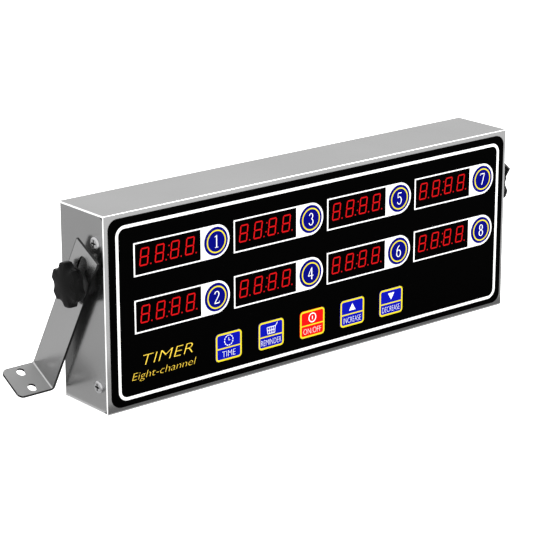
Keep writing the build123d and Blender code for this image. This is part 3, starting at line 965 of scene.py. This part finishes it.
def numeral(channel, spot):
    """The shapes of one numeral."""
    bars = [
        [bar(spot.x + x0 * MM, spot.z + z0 * MM, spot.x + x1 * MM, spot.z + z1 * MM, width * MM)]
        for x0, z0, x1, z1, width in numeral_bars[channel]
    ]
    return bars + [band(spot, *values) for values in numeral_bands[channel]]


ring_outer, ring_line = 6.5 * MM, 0.75 * MM

for channel in channels:
    key = f"channel_key_{channel}"
    spot = middle_of(key)
    key_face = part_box(key)[0].y
    ring = [circle(spot.x, spot.z, ring_outer), circle(spot.x, spot.z, ring_outer - ring_line)]
    printed(f"{key}_ring", [ring], key_face, yellow_ink, key)
    printed(f"{key}_numeral", numeral(channel, spot), key_face, white_ink, key)
print("numerals:", len(channels))

# %% [markdown]
# ## Function keys
# Each of the five lower keys has a yellow line around it, a divider, an icon above and a word below.
# The icons are built from the same outlines: arcs for the clock's dashes, bars for the basket.

# %% Key frames, icons and labels
frame_thickness = 1.0 * MM
divider_line = 0.7 * MM
divider_drop = 0.8 * MM
icon_lift = 3.3 * MM
label_drop = 4.25 * MM
label_height = 3.2 * MM


def dash(x, z, outer, inner, start, end):
    """A piece of a ring."""
    return arc(x, z, outer, start, end, 4) + arc(x, z, inner, end, start, 4)


def clock_icon(x, z):
    """A ring of dashes with two hands."""
    marks = [[dash(x, z, 3.15 * MM, 2.7 * MM, a, a + 20)] for a in range(0, 360, 30)]
    hand = 0.25 * MM
    long_hand = bar(x, z - 0.2 * MM, x, z + 1.6 * MM, hand)
    short_hand = bar(x, z, x + 1.0 * MM, z, hand)
    return marks + [[long_hand], [short_hand]]


def basket_icon(x, z):
    """A wire basket with its handle up to the right."""
    wide, deep, line = 3.0 * MM, 1.9 * MM, 0.32 * MM
    top, foot = z + 1.1 * MM, z - 2.7 * MM
    lean = 0.5 * MM
    strokes = [
        (x - wide, top, x + wide, top),
        (x - wide, top, x - wide + lean, foot),
        (x + wide, top, x + wide - lean, foot),
        (x - wide + lean, foot, x + wide - lean, foot),
        (x + wide, top, x + wide + 1.6 * MM, top + deep),
    ]
    strokes += [(x + s * MM, top, x + s * 0.85 * MM, foot) for s in (-1.5, 0.0, 1.5)]
    strokes.append((x - wide + lean / 2, (top + foot) / 2, x + wide - lean / 2, (top + foot) / 2))
    return [[bar(*ends, line)] for ends in strokes]


def power_icon(x, z):
    """A ring with a short bar in it."""
    ring = [circle(x, z, 2.85 * MM, 40), circle(x, z, 2.25 * MM, 40)]
    return [ring, [bar(x, z - 1.0 * MM, x, z + 1.0 * MM, 0.5 * MM)]]


def triangle_icon(x, z, way):
    """A filled triangle that points up or down."""
    wide, tall = 2.4 * MM, 2.0 * MM
    return [[[(x - wide, z - way * tall), (x + wide, z - way * tall), (x, z + way * tall)]]]


function_keys = [
    ("time_key", "TIME", 9.2 * MM, clock_icon),
    ("reminder_key", "REMINDER", 14.4 * MM, basket_icon),
    ("power_key", "ON/OFF", 13.0 * MM, power_icon),
    ("increase_key", "INCREASE", 13.2 * MM, lambda x, z: triangle_icon(x, z, 1)),
    ("decrease_key", "DECREASE", 13.6 * MM, lambda x, z: triangle_icon(x, z, -1)),
]
key_corner = 2.2 * MM

for key, words, label_width, icon in function_keys:
    low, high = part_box(key)
    x, z = (low.x + high.x) / 2, (low.z + high.z) / 2
    width, height = high.x - low.x, high.z - low.z
    outline = outlined(x, z, width, height, key_corner, frame_thickness)
    reach = width / 2 - frame_thickness
    divider = [bar(x - reach, z - divider_drop, x + reach, z - divider_drop, divider_line)]
    printed(f"{key}_frame", [outline, divider], low.y, yellow_ink, key)
    printed(f"{key}_icon", icon(x, z + icon_lift), low.y, white_ink, key)
    spot, size = (x, z - label_drop), (label_width, label_height)
    lettering(f"{key}_label", words, spot, size, low.y, white_ink, key)
print("function keys:", len(function_keys))

# %% [markdown]
# ## Star knobs
# A moulded knob has no sharp edge anywhere. The outline is a circle with six scallops. Copies of it
# are stacked outwards along the knob's axis, each drawn in by its own amount, and neighbouring
# copies are bridged. The last ones shrink to a round dome.

# %% Model the star knobs
lobes = 6
lobe_angle = 20.6
knob_radius = 12.3 * MM
valley_radius = 10.3 * MM
scallop_radius = 5.0 * MM
lobe_blend = 0.25 * MM
outline_steps = 180
knob_rim = 5.5 * MM
knob_hub = 0.9 * MM
soft_edge = 1.5 * MM
back_edge = 0.7 * MM
hub_radius = 7.5 * MM


def star_radius(angle):
    """The outline's radius: a circle cut by round scallops, with the corners blended."""
    off_middle = (angle * lobes / (2 * pi)) % 1.0 - 0.5
    turn = off_middle * 2 * pi / lobes
    centre = valley_radius + scallop_radius
    under = scallop_radius**2 - (centre * sin(turn)) ** 2
    if under <= 0.0:
        return knob_radius
    scallop = centre * cos(turn) - sqrt(under)
    gap = max(0.0, 1 - abs(scallop - knob_radius) / (4 * lobe_blend))
    return min(scallop, knob_radius) - lobe_blend * gap**2


def knob_ring(bm, side, centre, reach, inset, roundness):
    """One closed copy of the outline, drawn in by an inset and blended to a circle."""
    ring = []
    for i in range(outline_steps):
        turn = 2 * pi * i / outline_steps
        star = star_radius(turn) - inset
        radius = star * (1 - roundness) + (valley_radius - inset) * roundness
        angle = turn + radians(lobe_angle)
        y, z = radius * cos(angle), radius * sin(angle)
        ring.append(bm.verts.new((side * reach, centre.y + y, centre.z + z)))
    return [bm.edges.new((ring[i - 1], ring[i])) for i in range(outline_steps)]


def knob_profile(back, face):
    """(reach, inset, roundness) of each copy, from the hub round the rim to the dome."""
    rim_front = back + knob_rim
    profile = [(back, knob_radius - hub_radius, 1.0), (back, 1.0 * MM, 0.0)]
    quarter = [i / 5 for i in range(6)]
    for q in quarter[1:]:
        rise = back_edge * sin(q * pi / 2)
        profile.append((back + rise, back_edge - rise, 0.0))
    edge_start = rim_front - soft_edge
    for q in quarter:
        turn = q * pi / 2
        profile.append((edge_start + soft_edge * sin(turn), soft_edge * (1 - cos(turn)), 0.0))
    dome = face - rim_front
    start = soft_edge
    for share in (0.12, 0.3, 0.5, 0.7, 0.85, 0.95):
        inset = start + (valley_radius - start) * share
        profile.append((rim_front + dome * (1 - (1 - share) ** 2), inset, min(1.0, share * 3)))
    return profile


def star_knob(side, label):
    """One knob, from its hub to its domed face."""
    low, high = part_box(f"{label}_knob")
    near, far = sorted((abs(low.x), abs(high.x)))
    back = near + knob_hub
    centre = middle_of(f"{label}_thrust_washer")
    bm = bmesh.new()
    rings = [knob_ring(bm, side, centre, near, knob_radius - hub_radius, 1.0)]
    rings += [knob_ring(bm, side, centre, *values) for values in knob_profile(back, far)]
    for first, second in zip(rings, rings[1:]):
        bmesh.ops.bridge_loops(bm, edges=first + second)
    for ring in (rings[0], rings[-1]):
        bmesh.ops.contextual_create(bm, geom=ring)
    for face in bm.faces:
        face.smooth = True
    piece = add_piece(f"{label}_star_knob", bm, knob_black, f"{label}_grip")
    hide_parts(f"{label}_knob")
    return piece


for side, label in ((-1, "left"), (1, "right")):
    star_knob(side, label)
